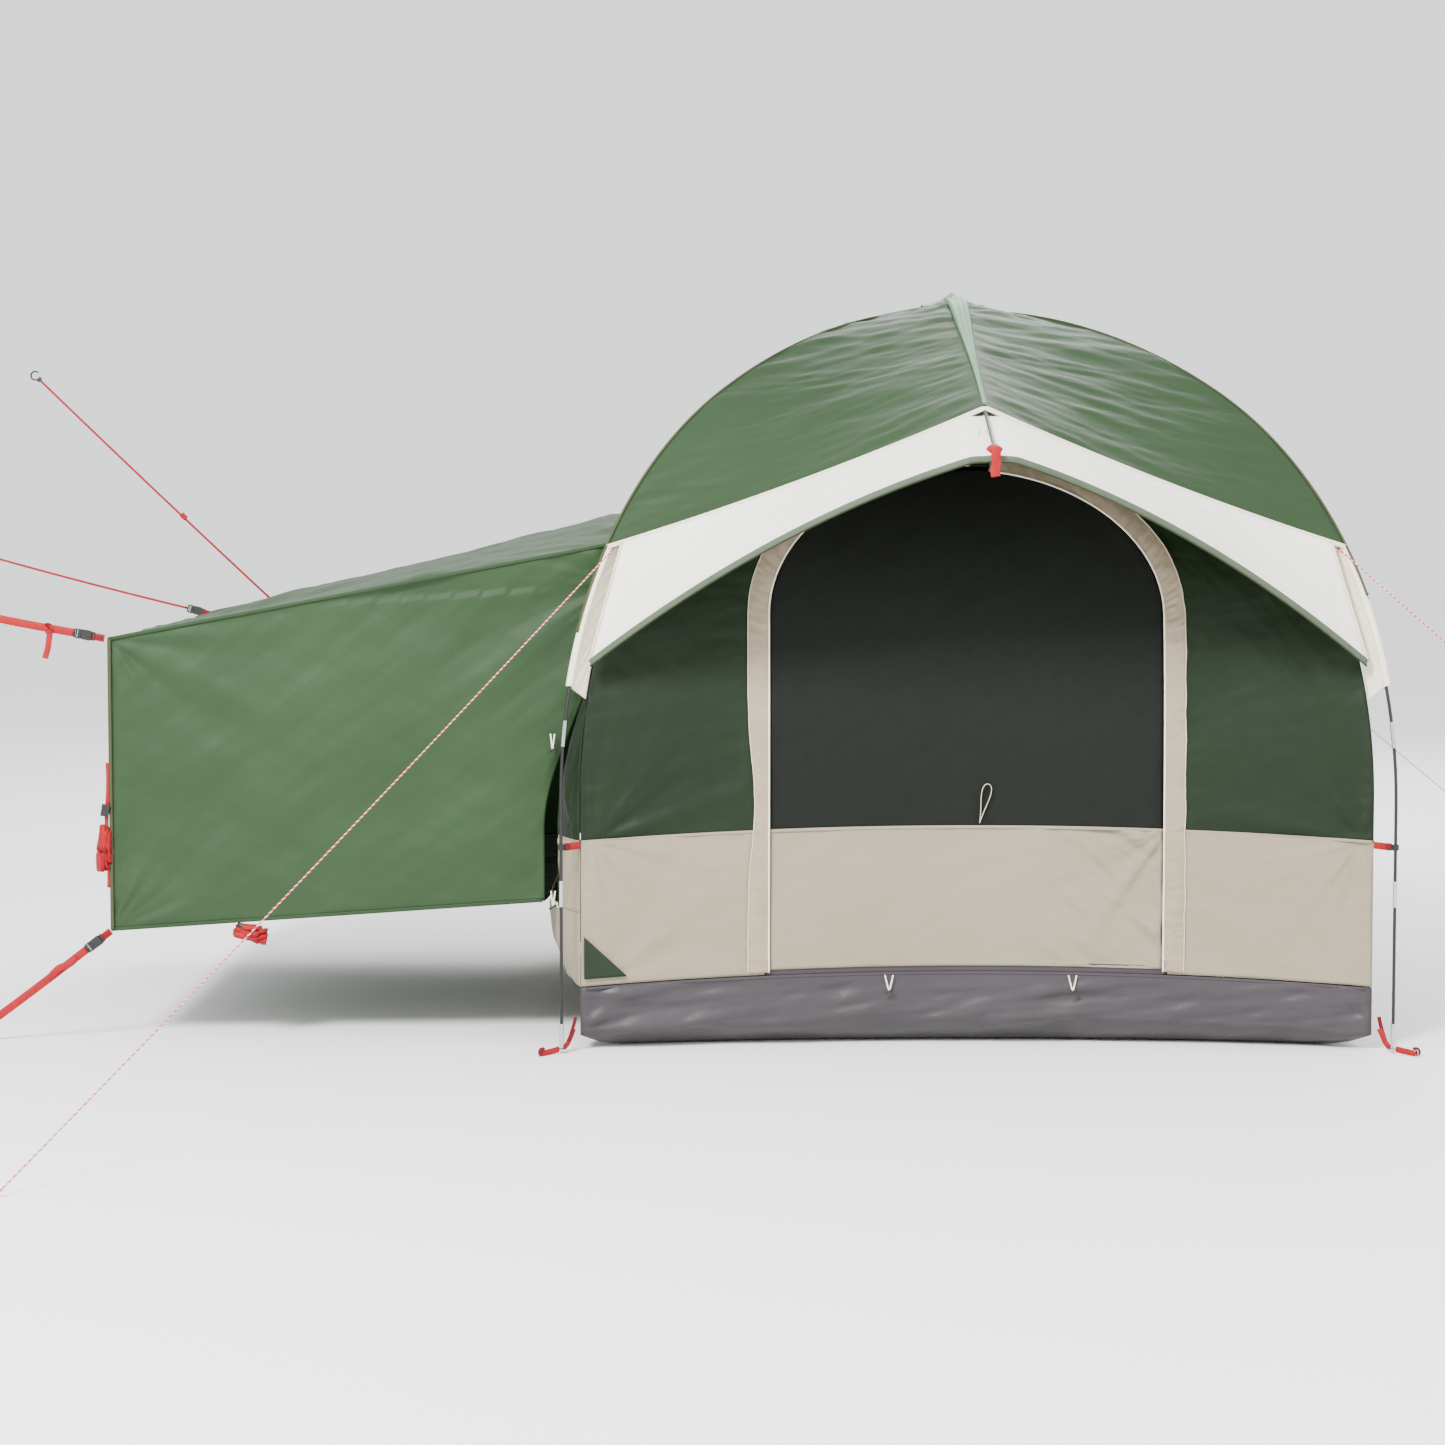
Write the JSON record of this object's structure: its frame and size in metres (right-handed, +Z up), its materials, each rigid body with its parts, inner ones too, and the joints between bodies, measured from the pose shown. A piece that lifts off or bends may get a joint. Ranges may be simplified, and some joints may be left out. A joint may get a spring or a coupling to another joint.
{
  "type": "tent on poles",
  "caption": "Square dome tent on crossed poles with a ridge pole, roof fly with front visor, zipped door and a tapering sleeve that straps to a vehicle.",
  "frame": {"origin": "middle of the groundsheet's underside, on the ground", "axes": "+Z up, -Y out of the door, +X to the right seen from the front; the vehicle sleeve runs to -X"},
  "size_m": [6.1652, 6.2317, 2.2626],
  "materials": {
    "fibreglass": "gloss",
    "ferrule_steel": "satin",
    "elastic_white": "woven",
    "hardware_black": "matte",
    "webbing_red": "woven",
    "wire_steel": "satin",
    "tub_grey": "coated",
    "wall_fabric": "coated",
    "wall_beige": "coated",
    "mesh_dark": "mesh",
    "tape_cream": "woven",
    "zip_metal": "satin",
    "mesh_pale": "mesh",
    "fly_green": "coated",
    "crest_green": "coated",
    "visor_white": "coated",
    "sleeve_green": "coated",
    "rope_red": "braided"
  },
  "bodies": {
    "root": {"pole_a_rods": "fibreglass", "pole_b_rods": "fibreglass", "ridge_pole_rods": "fibreglass", "pole_ferrules": "ferrule_steel", "shock_cords": "elastic_white", "pole_tips": "ferrule_steel", "pole_clips": "hardware_black", "corner_rings": "wire_steel", "corner_webbing": "webbing_red", "corner_pegs": "wire_steel", "tub_floor": "tub_grey", "tub_walls": "tub_grey", "front_wall_left": "wall_fabric", "front_wall_right": "wall_fabric", "flap_left": "tape_cream", "flap_right": "tape_cream", "zip_tapes": "tape_cream", "right_wall": "wall_fabric", "rear_wall": "wall_fabric", "left_wall_lower": "wall_beige", "left_wall_sides": "wall_fabric", "left_wall_top": "wall_fabric", "ceiling_mesh": "mesh_pale", "fly_front": "fly_green", "fly_rear": "fly_green", "fly_left": "fly_green", "fly_right": "fly_green", "ridge_crest": "crest_green", "visor": "visor_white", "ridge_pocket": "webbing_red", "front_pole_sleeves": "tape_cream", "sleeve_near": "sleeve_green", "sleeve_roof": "sleeve_green", "sleeve_far": "sleeve_green", "sleeve_floor": "sleeve_green", "mouth_webbing": "webbing_red", "buckle_sockets": "hardware_black", "roof_strap": "webbing_red", "roof_strap_hook": "hardware_black", "guy_front_left": "rope_red", "guy_front_right": "rope_red", "guy_rear_right": "rope_red", "guy_pegs": "wire_steel"},
    "door": {"door_window": "mesh_dark", "door_lower": "wall_beige", "door_pull": "tape_cream"},
    "zip_slider_left": {"zip_slider_left": "zip_metal"},
    "zip_slider_right": {"zip_slider_right": "zip_metal"},
    "buckle_near_top": {"buckle_near_top": "hardware_black", "strap_near_top": "webbing_red"},
    "buckle_near_bottom": {"buckle_near_bottom": "hardware_black", "strap_near_bottom": "webbing_red"},
    "buckle_far_top": {"buckle_far_top": "hardware_black", "strap_far_top": "webbing_red"},
    "roof_strap_slider": {"roof_strap_slider": "webbing_red"},
    "guy_runner": {"guy_runner": "hardware_black"},
    "sill_toggle_left": {"sill_toggle_left": "hardware_black"},
    "sill_toggle_right": {"sill_toggle_right": "hardware_black"},
    "side_toggle_upper": {"side_toggle_upper": "hardware_black"},
    "side_toggle_lower": {"side_toggle_lower": "hardware_black"}
  },
  "joints": [
    {"name": "door_fold", "type": "hinge", "parent": "root", "child": "door", "pos_m": [-0.025, -1.067, 0.222], "axis": [1, 0, 0], "range_deg": [0, 70]},
    {"name": "zip_left", "type": "slide", "parent": "root", "child": "zip_slider_left", "axis": [0, 0, 1], "range_m": [0, 0.45]},
    {"name": "zip_right", "type": "slide", "parent": "root", "child": "zip_slider_right", "axis": [0, 0, 1], "range_m": [0, 0.45]},
    {"name": "release_near_top", "type": "slide", "parent": "root", "child": "buckle_near_top", "axis": [-0.9819, 0, 0.1894], "range_m": [0, 0.03]},
    {"name": "release_near_bottom", "type": "slide", "parent": "root", "child": "buckle_near_bottom", "axis": [-0.799, 0, -0.6014], "range_m": [0, 0.03]},
    {"name": "release_far_top", "type": "slide", "parent": "root", "child": "buckle_far_top", "axis": [-0.9671, 0, 0.2544], "range_m": [0, 0.03]},
    {"name": "roof_strap_adjust", "type": "slide", "parent": "root", "child": "roof_strap_slider", "axis": [-0.723, 0, 0.6909], "range_m": [-0.15, 0.15]},
    {"name": "guy_tension", "type": "slide", "parent": "root", "child": "guy_runner", "axis": [0.5939, 0.6807, -0.429], "range_m": [-0.1, 0.3]},
    {"name": "sill_toggle_left_swing", "type": "hinge", "parent": "root", "child": "sill_toggle_left", "pos_m": [-0.25, -1.06899, 0.20636], "axis": [-1, 0, 0], "range_deg": [0, 60]},
    {"name": "sill_toggle_right_swing", "type": "hinge", "parent": "root", "child": "sill_toggle_right", "pos_m": [0.29, -1.07061, 0.20579], "axis": [-1, 0, 0], "range_deg": [0, 60]},
    {"name": "side_toggle_upper_swing", "type": "hinge", "parent": "root", "child": "side_toggle_upper", "pos_m": [-1.24, -1.024, 0.915], "axis": [-1, 0, 0], "range_deg": [0, 60]},
    {"name": "side_toggle_lower_swing", "type": "hinge", "parent": "root", "child": "side_toggle_lower", "pos_m": [-1.24, -1.024, 0.45], "axis": [-1, 0, 0], "range_deg": [0, 60]}
  ]
}
